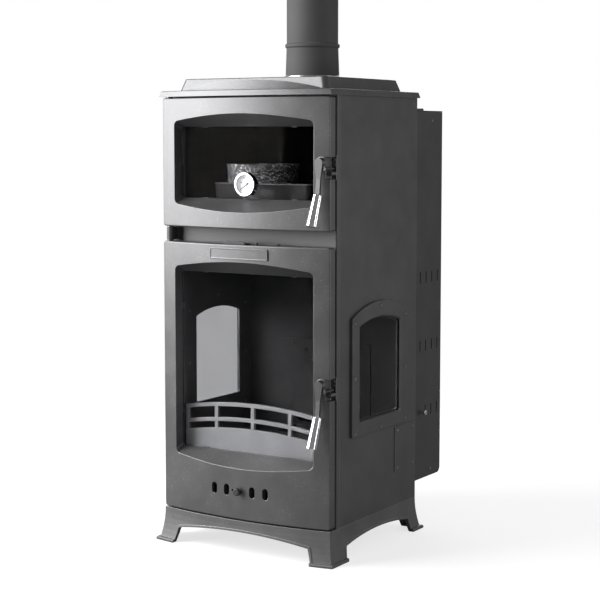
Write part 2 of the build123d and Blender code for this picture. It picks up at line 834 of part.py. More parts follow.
def slide_guides():
    """Two lipped strips on the back panel that hold the rear air slide."""
    guides = []
    for s in (-1, 1):
        near = slide_z + s * (slide_h / 2 + rub)
        far = near + s * 6
        lip = near - s * 5
        y_lip = body_d + slide_t + 2 * rub
        strip = span(-slide_w / 2, slide_w / 2, body_d, y_lip + 2, min(near, far), max(near, far))
        hook = span(-slide_w / 2, slide_w / 2, y_lip, y_lip + 2, min(lip, far), max(lip, far))
        guides.append(strip + hook)
    return guides


def hopper_case():
    """Sheet case behind the body: two louvred sides, back, floor and a rail along the top front."""
    shell = span(-case_half, case_half, body_d, case_back, case_z, case_top)
    foot = shell.edges().filter_by(Axis.X).group_by(Axis.Y)[-1].sort_by(Axis.Z)[0]
    shell = fillet(foot, case_r)
    hollow = span(-case_half + case_t, case_half - case_t, body_d - 1, case_back - case_t,
                  case_z + case_t, case_top + 1)
    back_foot = hollow.edges().filter_by(Axis.X).group_by(Axis.Y)[-1].sort_by(Axis.Z)[0]
    case = shell - fillet(back_foot, case_r - case_t)
    case += span(-case_half, case_half, body_d, body_d + case_rail, case_top - case_t, case_top)
    for s in (-1, 1):
        inner = s * (case_half - case_t)
        flange_x = sorted((inner, inner - s * 14))
        case += span(*flange_x, body_d, body_d + case_t, case_z, case_top)
        for row in louvre_rows:
            for i in range(louvre_count):
                if s == 1 and i == 0 and row == louvre_rows[0]:
                    continue
                spot = Pos(body_d + louvre_first + i * louvre_pitch, case_z + row)
                slot = across(spot * slot_upright(louvre_w, louvre_l), case_half - case_t - 1, case_half + 1)
                case -= slot if s == 1 else mirrored(slot)
    rod_y = body_d + slide_rod_y
    hole = rod((case_half - 5, rod_y, slide_z), (case_half + 1, rod_y, slide_z), slide_rod_r + running)
    case -= hole
    for s in (-1, 1):
        case += case_knuckle(s)
    return case


def knuckle_x(s, part):
    """Start of a hinge knuckle on side s; part 0 is the case's and part 1 the lid's."""
    return s * (case_half - 60) - (knuckle_l + rub) * part * s - (knuckle_l if s > 0 else 0)


def knuckle(x):
    return rod((x, lid_axis_y, lid_axis_z), (x + knuckle_l, lid_axis_y, lid_axis_z), knuckle_r)


def case_knuckle(s):
    """Knuckle on the back of the case with its pin, which the lid turns on."""
    x = knuckle_x(s, 0)
    leaf = span(x, x + knuckle_l, case_back, case_back + case_t + rub, case_top - 24, lid_axis_z)
    start = x if s < 0 else x + knuckle_l
    end = start - s * (2 * knuckle_l + 8)
    pin = rod((start, lid_axis_y, lid_axis_z), (end, lid_axis_y, lid_axis_z), lid_pin_r)
    return knuckle(x) + leaf + pin


def hopper_lid():
    """Lid with a raised front lip and two knuckles at its back edge."""
    z0 = case_top + rub
    front = body_d + case_rail + 2
    lid = span(-case_half, case_half, front, case_back, z0, z0 + lid_t)
    lid += span(-case_half + 40, case_half - 40, front, front + lid_t, z0, z0 + lid_lip)
    for s in (-1, 1):
        x = knuckle_x(s, 1)
        arm = span(x, x + knuckle_l, case_back - 8, lid_axis_y, z0, z0 + lid_t)
        lid += knuckle(x) + arm
        lid -= rod((x - 50, lid_axis_y, lid_axis_z), (x + 90, lid_axis_y, lid_axis_z), lid_pin_r + running)
    return lid


def bin_rect(z, w, y0, y1):
    return Pos(0, (y0 + y1) / 2, z) * Rectangle(w, y1 - y0)


def bin_solid(inset):
    """Outside of the pellet bin, or its inside when moved in by its wall."""
    front, back = chute_mouth_y()
    y0 = body_d + bin_front_gap
    funnel_z = bin_top() - bin_h
    low = bin_rect(chute_top_z, chute_w - 2 * inset, front + inset, back - inset)
    mid = bin_rect(funnel_z, bin_w - 2 * inset, y0 + inset, y0 + bin_d - inset)
    top = bin_rect(bin_top(), bin_w - 2 * inset, y0 + inset, y0 + bin_d - inset)
    return loft([low, mid], ruled=True) + loft([mid, top], ruled=True)


def bin_top():
    return case_top - case_t - rub


def hopper_bin():
    """Pellet bin that narrows down to the chute, hung on a rim inside the case."""
    y0 = body_d + bin_front_gap
    rim_z = bin_top() - 2
    rim = span(-case_half + case_t, case_half - case_t, y0, case_back - case_t, rim_z, bin_top())
    inner = bin_solid(bin_t)
    mouth = span(-bin_w / 2 + bin_t, bin_w / 2 - bin_t, y0 + bin_t, y0 + bin_d - bin_t, rim_z - 5, bin_top() + 1)
    return bin_solid(0) + rim - inner - mouth


def firebox_back_wall():
    top = baffle_z() - baffle_t
    wall = span(-panel_in + 1, panel_in - 1, fire_back_y, fire_back_y + fire_back_t, fire_floor_z, top)
    return wall - chute_body(1)


def throat_plate():
    """Plate that closes the back wall round the chute."""
    foot = fire_floor_z + throat_rise
    plate = span(-throat_w / 2, throat_w / 2, fire_back_y - throat_t, fire_back_y, foot, throat_top_z)
    plate = fillet(plate.edges().filter_by(Axis.Y), 8)
    return plate - chute_body(1)


def throat_bolts():
    bolts = []
    y = fire_back_y - throat_t
    for out, drop in (throat_outer_bolts, throat_inner_bolts):
        z = throat_top_z - drop
        for x in (-out, out):
            bolts.append(rod((x, y, z), (x, y - throat_bolt_h, z), throat_bolt_r))
    return bolts


def firebox_floor():
    """Floor plate on its ledges, with the burner pot's opening."""
    z1 = fire_floor_z
    plate = span(-panel_in + 1, panel_in - 1, frame_t, fire_back_y + fire_back_t, z1 - floor_t, z1)
    x = pot_w / 2 + 1
    hole = span(-x, x, pot_front - 1, pot_front + pot_d + 1, z1 - floor_t - 1, z1 + 1)
    return plate - hole


def burner_pot():
    """Open pot hung in the floor by its flange, with a slotted grate in its foot."""
    top = fire_floor_z + pot_rise
    foot = top - pot_h
    x = pot_w / 2
    y1 = pot_front + pot_d
    pot = span(-x, x, pot_front, y1, foot, top)
    lip = pot_flange
    pot += span(-x - lip, x + lip, pot_front - lip, y1 + lip, fire_floor_z, fire_floor_z + pot_flange_t)
    pot -= span(-x + pot_wall, x - pot_wall, pot_front + pot_wall, y1 - pot_wall, foot + pot_wall, top + 1)
    pitch = (pot_w - 2 * pot_wall) / (grate_slots + 1)
    for i in range(grate_slots):
        slot_x = -x + pot_wall + (i + 1) * pitch
        spot = Pos(slot_x, (pot_front + y1) / 2, foot)
        pot -= spot * extrude(slot_upright(pitch * 0.45, pot_d - 4 * pot_wall), pot_wall + 2, both=True)
    return pot


def log_guard():
    """Cast guard behind the window: arched rails and posts over a solid apron."""
    def band(low, high):
        half = guard_w / 2
        z0 = sill_z + low
        z1 = sill_z + high
        side = Polyline((-half, z1), (-half, z0))
        foot = ThreePointArc((-half, z0), (0, z0 + (guard_rise if low else 0.01)), (half, z0))
        other = Line((half, z0), (half, z1))
        head = ThreePointArc((half, z1), (0, z1 + guard_rise), (-half, z1))
        return make_face(side + foot + other + head)
    guard = deep(band(0, guard_apron_top), guard_y, guard_y + guard_t)
    for rail in (guard_mid, guard_top):
        guard += deep(band(rail - guard_bar, rail), guard_y, guard_y + guard_t)
    for step in (-1, 0, 1):
        x = step * guard_post_pitch
        rise = guard_rise * (1 - (2 * x / guard_w) ** 2)
        guard += span(x - guard_bar / 2, x + guard_bar / 2, guard_y, guard_y + guard_t,
                      sill_z + guard_apron_top - 5, sill_z + guard_top + rise - 3)
    for s in (-1, 1):
        end = s * (guard_w / 2)
        inner = end - s * guard_bar
        guard += span(min(end, inner), max(end, inner), guard_y, guard_y + guard_t,
                      sill_z + guard_apron_top - 5, sill_z + guard_top)
    return guard


def baffle_plate():
    z1 = baffle_z()
    return span(-panel_in + 1, panel_in - 1, baffle_front, fire_back_y + fire_back_t, z1 - baffle_t, z1)


def ash_drawer():
    """Open drawer with a bow handle on its front."""
    z0 = ash_open_z + 2
    x = drawer_w / 2
    drawer = span(-x, x, drawer_front, drawer_back, z0, z0 + drawer_h)
    t = drawer_t
    drawer -= span(-x + t, x - t, drawer_front + t, drawer_back - t, z0 + t, z0 + drawer_h + 1)
    z = z0 + drawer_h * 0.55
    reach = drawer_front - 9
    half = drawer_handle_w / 2
    bar = rod((-half, reach, z), (half, reach, z), 3)
    posts = [rod((s * (half - 3), reach, z), (s * (half - 3), drawer_front + 1, z), 3) for s in (-1, 1)]
    return drawer + bar + posts[0] + posts[1]


def drawer_rails():
    """Two angle rails on the base deck that the ash drawer stands on."""
    rails = []
    top = ash_open_z + 2
    x = drawer_w / 2
    upright = span(x - 16, x - 12, frame_t, drawer_back, base_h, top - 3)
    shelf = span(x - 30, x + 4, frame_t, drawer_back, top - 3, top)
    guide = span(x + 1, x + 4, frame_t, drawer_back, top - 3, top + 14)
    rail = upright + shelf + guide
    rails += [rail, mirrored(rail)]
    return rails


def oven_box():
    """Sheet oven, open at the front, with the two rails that the rack slides on."""
    x = oven_w / 2
    z0 = oven_floor_z
    z1 = z0 + oven_h
    y0 = frame_t
    y1 = y0 + oven_d
    box = span(-x - oven_t, x + oven_t, y0, y1, z0 - oven_t, z1 + oven_t)
    box -= span(-x, x, y0 - 1, y1 - oven_t, z0, z1)
    for s in (-1, 1):
        inner = s * (x - oven_rail_w)
        edges = sorted((inner, s * x))
        box += span(*edges, y0 + 8, y1 - oven_t, z0, z0 + oven_rail_rise)
    return box


def oven_rack():
    """Wire shelf: a round bar frame with straight wires from front to back."""
    x = oven_w / 2 - oven_rail_w / 2
    y0 = frame_t + rack_inset
    y1 = frame_t + oven_d - rack_inset
    corners = [(-x, y0), (x, y0), (x, y1), (-x, y1)]
    rack = Part()
    for i, start in enumerate(corners):
        end = corners[(i + 1) % 4]
        rack += rod((*start, rack_z), (*end, rack_z), rack_rod_r)
        rack += Pos(*start, rack_z) * Sphere(rack_rod_r)
    pitch = 2 * x / (rack_wires + 1)
    wire_z = rack_z + rack_rod_r - rack_wire_r
    for i in range(rack_wires):
        wire_x = -x + (i + 1) * pitch
        rack += rod((wire_x, y0, wire_z), (wire_x, y1, wire_z), rack_wire_r)
    return rack


def oven_tray():
    """Deep baking tray with sloping sides and a turned-out rim."""
    z0 = rack_z + rack_rod_r
    middle = Pos(0, tray_front + tray_d / 2, 0)

    def bowl(inset, foot, top):
        low_inset = 2 * (tray_slope + inset)
        low = Pos(0, 0, foot) * rounded_rect(tray_w - low_inset, tray_d - low_inset, tray_corner_r)
        high = Pos(0, 0, top) * rounded_rect(tray_w - 2 * inset, tray_d - 2 * inset, tray_corner_r)
        return middle * loft([low, high], ruled=True)
    rim_size = (tray_w + tray_rim, tray_d + tray_rim)
    rim_face = Pos(0, 0, z0 + tray_h - tray_t) * rounded_rect(*rim_size, tray_corner_r + tray_rim / 2)
    rim = middle * extrude(rim_face, tray_t)
    return bowl(0, z0, z0 + tray_h) + rim - bowl(tray_t, z0 + tray_t, z0 + tray_h + 1)


def round_pan():
    """Round baking pan standing in the tray."""
    z0 = rack_z + rack_rod_r + tray_t
    place = Pos(-pan_left, pan_back, z0)
    up = (Align.CENTER, Align.CENTER, Align.MIN)
    pan = Cone(pan_r - pan_taper, pan_r, pan_h, align=up)
    pan = fillet(pan.edges().group_by(Axis.Z)[0], 5)
    hollow = Pos(0, 0, pan_t) * Cone(pan_r - pan_taper - pan_t, pan_r - pan_t, pan_h, align=up)
    rim = Pos(0, 0, pan_h - 4) * (Cylinder(pan_r + 2, 4, align=up) - Cylinder(pan_r - 2, 4, align=up))
    return place * (pan + rim - hollow)


def top_casting():
    """Top slab, raised plinth and the crescent crest on the plinth's front, in one casting."""
    low = Pos(0, 0, body_top) * plan_face(slab_reach)
    high = Pos(0, 0, slab_top) * plan_face(slab_reach - slab_taper)
    slab = loft([low, high], ruled=True)
    slab = fillet(slab.edges().group_by(Axis.Z)[-1], 2.0)
    mid_y = (plinth_front + plinth_back) / 2
    depth = plinth_back - plinth_front
    foot = Pos(0, mid_y, slab_top - 1) * rounded_rect(plinth_w, depth, plinth_r)
    head = Pos(0, mid_y, plinth_top) * rounded_rect(plinth_w - 2 * plinth_slope, depth - 2 * plinth_slope, plinth_r)
    plinth = loft([foot, head], ruled=True)
    plinth = fillet(plinth.edges().group_by(Axis.Z)[-1], 3.0)
    x = crest_w / 2
    chord = Line((-x, slab_top - 1), (x, slab_top - 1))
    crown = ThreePointArc((x, slab_top - 1), (0, slab_top + crest_h), (-x, slab_top - 1))
    crescent = deep(make_face(chord + crown), plinth_front - crest_bow - 10, plinth_front + plinth_slope + 4)
    back_y = plinth_front + plinth_slope + 4
    sides = Polyline((-x, plinth_front), (-x, back_y), (x, back_y), (x, plinth_front))
    nose = ThreePointArc((x, plinth_front), (0, plinth_front - crest_bow), (-x, plinth_front))
    bowed = Pos(0, 0, slab_top - 2) * extrude(make_face(sides + nose), crest_h + 10)
    crest = crescent & bowed
    inset = plinth_slope + top_wall
    x_in = plinth_w / 2 - inset
    hollow = span(-x_in, x_in, plinth_front + inset, plinth_back - inset, body_top - 1, plinth_top - top_wall)
    flue_hole = Pos(0, flue_y, plinth_top) * Cylinder(flue_spigot_r() + 0.5, 4 * top_wall)
    return slab + plinth + crest - hollow - flue_hole - pin_seat(body_top, -1)


def flue_spigot_r():
    """Outside radius of the collar's neck, inside the lower pipe."""
    return flue_foot_r - flue_t - spigot_clear - 1.2


def flue_collar():
    """Ring on the plinth with a neck through the top and up into the lower pipe."""
    neck = flue_spigot_r()
    flange = ring(collar_r, neck - flue_t, plinth_top, pipe_z)
    flange = fillet(flange.edges().group_by(Axis.Z)[-1].sort_by(SortBy.LENGTH)[-1], 2.0)
    return flange + ring(neck, neck - flue_t, plinth_top - top_wall, pipe_z + 14)


def pipe_profile(points):
    """Turn a half section, given as radius and height, round the flue's axis."""
    outline = make_face(Polyline(*points, close=True))
    turned = revolve(Plane.XZ * outline, Axis.Z)
    return Pos(0, flue_y, 0) * turned


def flue_pipe_lower():
    """Slightly conical foot of the flue pipe, with a reduced end that the upper pipe goes over."""
    end_r = flue_r - flue_t - spigot_clear
    t = flue_t
    top_r = flue_r + 0.5
    outer = [(flue_foot_r, pipe_z), (top_r, bead_z), (end_r, bead_z), (end_r, bead_z + spigot_l)]
    inner = [(end_r - t, bead_z + spigot_l), (end_r - t, bead_z - 3), (top_r - t, bead_z - 6),
             (flue_foot_r - t, pipe_z)]
    return pipe_profile(outer + inner)


def flue_pipe_upper():
    """Straight pipe with a rolled bead at its foot."""
    r_in = flue_r - flue_t
    z = bead_z
    straight = [(flue_r, z + bead_h), (flue_r, flue_top), (r_in, flue_top), (r_in, z)]
    bead = [(flue_r + bead_out - 2, z), (flue_r + bead_out, z + 2.5), (flue_r + bead_out, z + bead_h - 4)]
    return pipe_profile(straight + bead)


def damper_slots():
    """The four air slots, two each side of the knob."""
    z = fire_door_z + slot_rise
    return [Pos(i * slot_pitch, z) * slot_upright(slot_w, slot_h) for i in (-2, -1, 1, 2)]


def damper_back_y():
    """Flat face inside the firebox door that the damper slides on."""
    return door_front + door_skin + damper_pad_rise


def damper_travel():
    return slot_pitch / 2


def door_hollow():
    """Hollow in the back of the firebox door's foot."""
    rim = seal_inset + seal_w / 2 + 1
    foot = fire_door_z + rim
    top = fire_window_z - fire_window_h / 2 - reveal_h - crown_rise - window_wall
    block = span(-half_w + rim, half_w - rim, door_front, door_back + 1, foot, top)
    block = fillet(block.edges().filter_by(Axis.Y), 8)
    return block & bow_drum(-door_skin, foot - 1, top + 1)


def fire_door_casting():
    door = door_casting(fire_door_z, fire_door_h, fire_window_h, fire_window_z, fire_shaft_z)
    z = fire_door_z + slot_rise
    pad_x = damper_pad_w / 2
    pad = span(-pad_x, pad_x, door_front - 1, damper_back_y(), z - damper_pad_h / 2, z + damper_pad_h / 2)
    pad &= bow_drum(-1, z - damper_pad_h, z + damper_pad_h)
    door = door - door_hollow() + pad
    for slot in damper_slots():
        door -= deep(slot, door_front - 5, damper_back_y() + 1)
    stem_run = damper_travel() + 2 * (damper_stem_r + 0.5)
    run = Pos(-damper_travel() / 2, z) * SlotOverall(stem_run, 2 * damper_stem_r + 1)
    door -= deep(run, door_front - 5, damper_back_y() + 1)
    for x in wash_slot_spots():
        door -= wash_slot(x, fire_door_top - wash_slot_depth, fire_door_top + 1, wash_y() + wash_slot_w / 2)
        duct_top = fire_door_top - wash_slot_depth + wash_duct_h
        door -= wash_slot(x, fire_door_top - wash_slot_depth, duct_top, door_back + 1)
    return door


def air_damper():
    """Slotted plate behind the air slots; its stem comes forward through the door."""
    y0 = damper_back_y() + rub
    z = fire_door_z + slot_rise
    half = slot_h / 2 + damper_lap
    plate = span(-damper_w / 2, damper_w / 2, y0, y0 + damper_t, z - half, z + half)
    for slot in damper_slots():
        plate -= deep(slot, y0 - 1, y0 + damper_t + 1)
    stem = rod((0, y0 + 1, z), (0, door_front - 10, z), damper_stem_r)
    return plate + stem


def damper_knob():
    """Round knob on the damper's stem, in front of the door."""
    z = fire_door_z + slot_rise
    y = door_front - 2
    knob = rod((0, y, z), (0, y - 5, z), damper_knob_r - 3.5, damper_knob_r)
    knob += rod((0, y - 5, z), (0, y - 13, z), damper_knob_r)
    knob = fillet(knob.edges().group_by(Axis.Y)[0], 3)
    return knob - rod((0, y + 1, z), (0, door_front - 10, z), damper_stem_r)


def damper_guides():
    """Lipped strips over and under the damper, fixed in the door."""
    guides = []
    y0 = damper_back_y()
    z = fire_door_z + slot_rise
    x = damper_w / 2
    for s in (-1, 1):
        near = z + s * (slot_h / 2 + damper_lap + rub)
        far = z + s * (damper_pad_h / 2)
        lip = near - s * 2.5
        y_lip = y0 + damper_t + 2 * rub
        strip = span(-x, x, y0, y_lip + 2, min(near, far), max(near, far))
        hook = span(-x, x, y_lip, y_lip + 2, min(lip, far), max(lip, far))
        guides.append(strip + hook)
    return guides


def wash_y():
    """Depth of the middle of the air-wash slots in the top edge of the firebox door."""
    return door_edge_y + wash_slide_d / 2


def wash_travel():
    """Half a pitch, which brings the slide's slots between the door's."""
    return wash_slot_pitch / 2


def wash_slot_spots():
    first = -wash_slot_pitch * (wash_slots - 1) / 2
    return [first + i * wash_slot_pitch for i in range(wash_slots)]


def wash_slot(x, z0, z1, back):
    """Room for wash air at x, from the front of a slot back to the given depth."""
    half = wash_slot_l / 2
    return span(x - half, x + half, wash_y() - wash_slot_w / 2, back, z0, z1)


def air_wash_slide():
    """Slotted slide on top of the firebox door with the winged tab that moves it."""
    z0 = fire_door_top + rub
    z1 = z0 + wash_slide_t
    y = wash_y()
    x = wash_slide_w / 2
    slide = span(-x, x, y - wash_slide_d / 2, y + wash_slide_d / 2, z0, z1)
    for slot_x in wash_slot_spots():
        slide -= wash_slot(slot_x, z0 - 1, z1 + 1, y + wash_slot_w / 2)
    front = door_front + 3
    left = wash_tab_left
    right = wash_tab_right
    neck = span(left + 21, right, front, y - wash_slide_d / 2 + 1, z0, z1)
    top = z0 + wash_tab_h
    wing = Polyline((left, z0 + 3), (left + 11, top - 0.5), (right - 14, top), (right, top - 3.5),
                    (right - 4, z0), (left + 5, z0), close=True)
    tab = deep(make_face(wing), front - 1, front + 3)
    return slide + neck + tab


def wash_stop():
    """Small pin on top of the firebox door that stops the air-wash tab where its slots are shut."""
    x = wash_tab_right + wash_travel() + 1 + wash_stop_r
    y = bow_face_y(x) + wash_stop_back
    return rod((x, y, fire_door_top), (x, y, fire_door_top + wash_stop_h), wash_stop_r)


def nameplate():
    """Blank plate with a raised rim that follows the bowed face of the door."""
    z1 = fire_door_top - plate_drop
    z0 = z1 - plate_h
    middle = (z0 + z1) / 2

    def layer(w, h, r, low, high):
        face = deep(Pos(0, middle) * rounded_rect(w, h, r), door_front - 20, door_back)
        return (face & bow_drum(high, z0 - 5, z1 + 5)) - bow_drum(low, z0 - 9, z1 + 9)
    plate = layer(plate_w, plate_h, 3, 0.05, plate_t)
    outer = layer(plate_w, plate_h, 3, 0.05, plate_t + 1.0)
    inner = layer(plate_w - 2 * plate_rim, plate_h - 2 * plate_rim, 2, -1, plate_t + 2)
    return plate + (outer - inner)


def dial_z():
    return oven_window_z - oven_window_h / 2 + dial_rise


def disc(radius, y0, y1):
    """A disc facing the room on the thermometer's axis."""
    return rod((0, y1, dial_z()), (0, y0, dial_z()), radius)


def dial_front():
    return glass_y - rub - dial_depth


def thermometer_case():
    """Cup with a rolled front rim, and the threaded stem and probe through the glass."""
    back = glass_y - rub
    front = dial_front()
    cup = disc(dial_r, front, back)
    cup = fillet(cup.edges().group_by(Axis.Y)[0], 2.0)
    cup -= disc(dial_r - dial_wall, front + 2.5, back - 4)
    cup -= disc(dial_r - dial_wall - 1.5, front - 1, front + 3)
    return cup + disc(stem_r, back - 1, back + probe_l)


def thermometer_nut():
    nut = deep(Pos(0, dial_z()) * RegularPolygon(8, 6), door_back + rub, door_back + rub + 4)
    return nut - disc(stem_r, door_back - 1, door_back + 9)


def thermometer_dial():
    back = glass_y - rub - 4
    return disc(dial_r - dial_wall - 0.1, back - 1.2, back) + disc(1, back - 6, back)


def thermometer_lens():
    front = dial_front() + 2.5
    return disc(dial_r - dial_wall - 0.1, front + 0.1, front + 1.6)


def thermometer_needle():
    """Pointer on the dial's centre pin; at rest it points to the cold end of the scale."""
    back = glass_y - rub - 4 - 1.2
    y0 = back - 2.2
    y1 = back - 1.2
    hub = disc(3, y0 - 0.6, y1)
    blade = Polyline((-1.6, -7), (1.6, -7), (0.5, 20), (-0.5, 20), close=True)
    arm = deep(Pos(0, dial_z()) * Rot(0, 0, 125) * make_face(blade), y0, y1)
    return hub + arm - disc(1 + running, back - 9, back + 1)


def door_glass(window_h, window_z):
    return glass_bed(window_h, window_z)


def shapes():
    """Every node of the stove by name."""
    block_z0 = fire_door_top + door_clear
    block_z1 = oven_door_z - door_clear
    right_spots = side_screw_spots() + cover_screw_spots()
    glass_hole = disc(stem_r + 0.2, glass_y - 1, door_back + 1)
    frame_right = side_window_frame()
    glass_right = side_glass()
    return {
        "base_casting": base_casting(),
        "front_frame": front_frame(),
        "side_panel_right": side_panel(right_spots) - cleaning_hole(),
        "side_panel_left": mirrored(side_panel(side_screw_spots())),
        "back_panel": back_panel(),
        "top_casting": top_casting(),
        "flue_collar": flue_collar(),
        "flue_pipe_lower": flue_pipe_lower(),
        "flue_pipe_upper": flue_pipe_upper(),
        "hinge_block": hinge_block(),
        "hinge_pins": [hinge_pin(base_h, 1), hinge_pin(block_z0, -1), hinge_pin(block_z1, 1),
                       hinge_pin(body_top, -1)],
        "latch_keepers": keeper(fire_shaft_z) + keeper(oven_shaft_z),
        "side_window_frame_right": frame_right,
        "side_window_frame_left": mirrored(frame_right),
        "side_glass": [glass_right, mirrored(glass_right)],
        "panel_screws": panel_screws(),
        "access_cover": access_cover(),
        "hopper_case": hopper_case(),
        "hopper_bin": hopper_bin(),
        "slide_guides": slide_guides(),
        "pellet_chute": pellet_chute(),
        "throat_plate": throat_plate(),
        "throat_bolts": throat_bolts(),
        "firebox_back_wall": firebox_back_wall(),
        "firebox_floor": firebox_floor(),
        "burner_pot": burner_pot(),
        "log_guard": log_guard(),
        "baffle_plate": baffle_plate(),
        "ash_drawer": ash_drawer(),
        "drawer_rails": drawer_rails(),
        "oven_box": oven_box(),
        "oven_rack": oven_rack(),
        "oven_tray": oven_tray(),
        "round_pan": round_pan(),
        "oven_door": door_casting(oven_door_z, oven_door_h, oven_window_h, oven_window_z, oven_shaft_z),
        "oven_door_glass": door_glass(oven_window_h, oven_window_z) - glass_hole,
        "oven_door_seal": door_seal(oven_door_z, oven_door_h),
        "oven_glass_clips": glass_clips(oven_window_h, oven_window_z, (0.0,)),
        "thermometer_case": thermometer_case(),
        "thermometer_nut": thermometer_nut(),
        "thermometer_dial": thermometer_dial(),
        "thermometer_lens": thermometer_lens(),
        "thermometer_needle": thermometer_needle(),
        "oven_handle_lever": handle_lever(oven_shaft_z) - handle_grip(oven_shaft_z),
        "oven_handle_grip": handle_grip(oven_shaft_z),
        "firebox_door": fire_door_casting(),
        "firebox_door_glass": door_glass(fire_window_h, fire_window_z),
        "firebox_door_seal": door_seal(fire_door_z, fire_door_h),
        "firebox_glass_clips": glass_clips(fire_window_h, fire_window_z, (-clip_z, clip_z)),
        "nameplate": nameplate(),
        "wash_stop": wash_stop(),
        "damper_guides": damper_guides(),
        "firebox_handle_lever": handle_lever(fire_shaft_z) - handle_grip(fire_shaft_z),
        "firebox_handle_grip": handle_grip(fire_shaft_z),
        "air_damper": air_damper(),
        "damper_knob": damper_knob(),
        "air_wash_slide": air_wash_slide(),
        "hopper_lid": hopper_lid(),
        "rear_air_slide": rear_air_slide(),
    }


def node_solids(shape):
    """Separate solids of one node, which is a shape or a list of shapes."""
    pieces = shape if isinstance(shape, list) else [shape]
    return [solid for piece in pieces for solid in piece.solids()]


def middle_y(nodes):
    """Depth of the middle of the whole stove, from its handle grips to its lid hinges."""
    boxes = [solid.bounding_box() for shape in nodes.values() for solid in node_solids(shape)]
    return (min(box.min.Y for box in boxes) + max(box.max.Y for box in boxes)) / 2


def write_parts():
    os.makedirs("parts", exist_ok=True)
    nodes = shapes()
    shift = Pos(0, -middle_y(nodes), 0)
    for name, shape in nodes.items():
        solids = [shift * solid for solid in node_solids(shape)]
        export_step(Compound(solids), f"parts/{name}.step")


write_parts()
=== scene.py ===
"""Cast-iron pellet stove with an oven: its finishes, small modelled details, light and camera."""
import bmesh
import bpy
import math
from mathutils import Matrix, Vector


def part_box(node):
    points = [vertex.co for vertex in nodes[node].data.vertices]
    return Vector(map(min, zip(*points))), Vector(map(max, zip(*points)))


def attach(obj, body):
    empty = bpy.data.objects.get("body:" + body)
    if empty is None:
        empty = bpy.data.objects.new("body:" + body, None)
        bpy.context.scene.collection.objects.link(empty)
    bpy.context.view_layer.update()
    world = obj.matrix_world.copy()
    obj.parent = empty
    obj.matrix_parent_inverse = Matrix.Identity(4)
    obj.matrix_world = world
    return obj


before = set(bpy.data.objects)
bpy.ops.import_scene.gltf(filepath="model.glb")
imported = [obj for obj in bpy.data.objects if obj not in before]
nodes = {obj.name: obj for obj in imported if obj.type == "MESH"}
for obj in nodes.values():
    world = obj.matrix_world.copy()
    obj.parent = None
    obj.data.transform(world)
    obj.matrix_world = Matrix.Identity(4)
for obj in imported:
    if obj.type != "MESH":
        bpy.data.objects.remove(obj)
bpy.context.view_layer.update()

# Front face of the body, from the frame, and the height that the lamps aim at, in metres
front_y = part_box("front_frame")[0].y
body_mid_z = 0.62

# Camera, seen from the middle of the body's front face at floor level
camera_right = 2.063
camera_forward = 3.048
camera_up = 1.006
camera_azimuth = math.radians(32.28)
camera_tilt = math.radians(5.0)
camera_lens = 92.13         # mm
camera_film = 36.0          # mm
camera_shift = -0.05

# Light
key_azimuth = math.radians(-52)
key_distance = 2.7
key_height = 1.75
key_size = (2.3, 2.7)
key_watts = 225.0
strip_azimuth = math.radians(84)
strip_distance = 2.4
strip_height = 1.0
strip_size = (0.25, 2.0)
strip_watts = 10.0
rim_azimuth = math.radians(118)
rim_distance = 2.2
rim_height = 1.0
rim_size = (0.25, 2.0)
rim_watts = 9.0
back_azimuth = math.radians(-155)
back_distance = 2.8
back_height = 1.5
back_size = (1.6, 1.8)
back_watts = 45.0
room_light = 0.27
room_gloss = 0.2
floor_tone = 0.32
floor_glow = 0.72
floor_radius = 4.0

# Cast and sprayed grain
coarse_grain = 0.16         # scale of the coarse grain, as a share of the fine grain's
fine_share = 0.65           # share of the fine grain in the height
cloud_scale = 0.3           # scale of the clouds, as a share of the blotches'
speck_range = (0.66, 0.74)
tone_range = (0.35, 0.65)
dust_range = (0.4, 0.6)
edge_range = (0.985, 0.86)  # cosine between the true and the rounded normal, flat and on an edge
# Share by which edges take the edge tone: partly rubbed paint, partly a painted highlight
edge_rub_and_highlight_share = 0.7
dust_share = 0.35
dust_tone = 1.3             # dust over the edge tone of rubbing and painted highlight
bevel_samples = 6
cast_edge = 0.0012
steel_edge = 0.0005
# Steel tones: low and high line tones, then a bright edge tone that is partly rubbing and partly a painted
# highlight
steel_tones = (0.75, 1.15, 1.5)
steel_rough = (0.8, 1.3)
line_depth = 0.00002

# Speckled pan: pattern scale, reach of each dot in its cell and tone, for small and large dots
speckle_sets = ((260.0, 0.34, 0.5), (140.0, 0.26, 0.85))
speckle_core = 0.6

# Window and lens glass
glass_bend = 1.04           # index of refraction, low so that the glass hardly mirrors the lamps
glass_haze = 0.93           # haze over clear glass

# Braided rope
braid_lean = math.radians(45)
braid_scale = 90.0
braid_depth = 0.0008

# Floor
floor_sides = 96
floor_fade = (0.9, 1.9)     # metres from the middle, where the floor turns into background

# Thermometer scale
dial_plate = 0.0012
print_height = 0.0002
scale_steps = 20
scale_figure_every = 4
scale_top = 500
scale_start = math.radians(215)
scale_sweep = math.radians(250)
mark_outer_r = 0.0235
mark_long = 0.0042
mark_short = 0.0024
mark_width = 0.0008
thin_mark = 0.6             # width of a short mark over a long one
weld = 0.000001
figure_r = 0.0155
figure_size = 0.0052


def node_group(name, inputs, outputs):
    """An empty shader node group with its input and output nodes."""
    tree = bpy.data.node_groups.new(name, "ShaderNodeTree")
    for label, kind, value in inputs:
        socket = tree.interface.new_socket(name=label, in_out="INPUT", socket_type=kind)
        socket.default_value = value
    for label, kind in outputs:
        tree.interface.new_socket(name=label, in_out="OUTPUT", socket_type=kind)
    return tree, tree.nodes.new("NodeGroupInput"), tree.nodes.new("NodeGroupOutput")


def math_node(tree, operation, first, second):
    """A Math node fed by sockets or numbers; returns its output."""
    node = tree.nodes.new("ShaderNodeMath")
    node.operation = operation
    for socket, value in zip(node.inputs, (first, second)):
        if isinstance(value, bpy.types.NodeSocket):
            tree.links.new(value, socket)
        else:
            socket.default_value = value
    return node.outputs[0]


